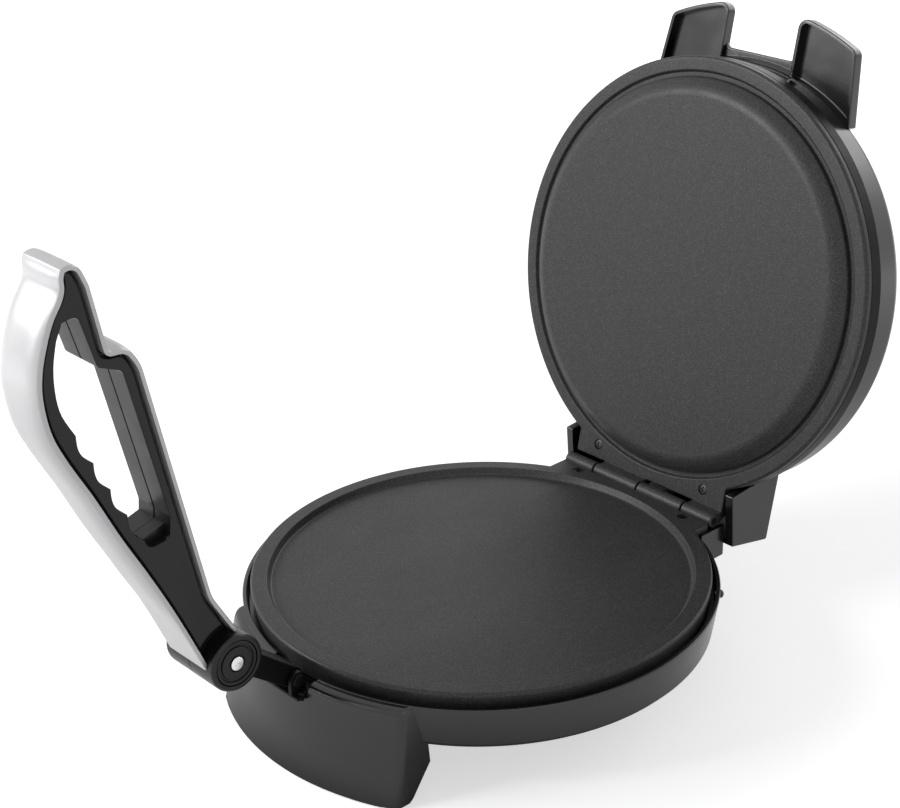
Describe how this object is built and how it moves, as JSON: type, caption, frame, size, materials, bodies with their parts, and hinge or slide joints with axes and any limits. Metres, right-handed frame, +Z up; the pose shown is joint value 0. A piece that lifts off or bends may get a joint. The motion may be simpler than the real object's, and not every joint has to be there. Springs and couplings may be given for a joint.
{
  "type": "electric roti maker",
  "caption": "Round hinged plate cooker whose domed lid folds over a recessed non-stick plate, with a pressing handle that swings over on a short link.",
  "frame": {"origin": "centre of the footprint at the level that the foot pads stand on, with the lid open and the handle swung forward", "axes": "+Z up, +X along the lid's hinge towards the right, +Y from the handle's side towards the hinge"},
  "size_m": [0.2796, 0.5312, 0.3492],
  "materials": {
    "gloss_black": "glossy black moulded plastic",
    "matte_black": "satin black moulded plastic",
    "nonstick": "cast aluminium with a dark grainy non-stick coating",
    "silver": "plastic with satin silver paint",
    "steel": "plain zinc-plated steel",
    "black_steel": "blackened steel",
    "chrome": "bright plated steel",
    "aluminium": "plain rolled sheet",
    "ceramic": "off-white moulded insulator",
    "rubber": "black moulded rubber",
    "lens": "red translucent lens"
  },
  "bodies": {
    "base": {"base_shell": "gloss_black", "bottom_cover": "matte_black", "bottom_screw_1": "steel", "bottom_screw_2": "steel", "bottom_screw_3": "steel", "bottom_screw_4": "steel", "bracket_screw_left": "steel", "bracket_screw_right": "steel", "cord_inlet": "rubber", "front_pad_left": "rubber", "front_pad_right": "rubber", "hinge_pin": "steel", "indicator_lens": "lens", "link_pin": "steel", "lower_element": "steel", "lower_plate": "nonstick", "lower_reflector": "aluminium", "lower_tab_screw_left": "black_steel", "lower_tab_screw_right": "black_steel", "pivot_bracket": "black_steel", "rear_foot": "gloss_black", "rear_foot_screw_left": "steel", "rear_foot_screw_right": "steel", "rear_pad_left": "rubber", "rear_pad_right": "rubber", "terminal_block": "ceramic", "thermal_fuse": "aluminium", "thermostat": "ceramic"},
    "lid": {"lid_shell": "gloss_black", "upper_plate": "nonstick", "upper_element": "steel", "upper_reflector": "aluminium", "upper_tab_screw_left": "black_steel", "upper_tab_screw_right": "black_steel"},
    "link": {"link_arm": "matte_black"},
    "handle": {"handle_half_left": "matte_black", "handle_half_right": "matte_black", "handle_band": "silver", "pivot_axle": "steel", "pivot_cap_left": "matte_black", "pivot_cap_right": "matte_black", "pivot_screw_left": "chrome", "pivot_screw_right": "chrome", "handle_screw_1": "steel", "handle_screw_2": "steel"}
  },
  "joints": [
    {"name": "lid_hinge", "type": "hinge", "parent": "base", "child": "lid", "pos_m": [0, 0.15624, 0.0648], "axis": [1, 0, 0], "range_deg": [0, 102.6]},
    {"name": "link_hinge", "type": "hinge", "parent": "base", "child": "link", "pos_m": [0, -0.12756, 0.0586], "axis": [-1, 0, 0], "range_deg": [0, 46.8]},
    {"name": "handle_hinge", "type": "hinge", "parent": "link", "child": "handle", "pos_m": [0, -0.17125, 0.09298], "axis": [-1, 0, 0], "range_deg": [0, 51.1]}
  ]
}
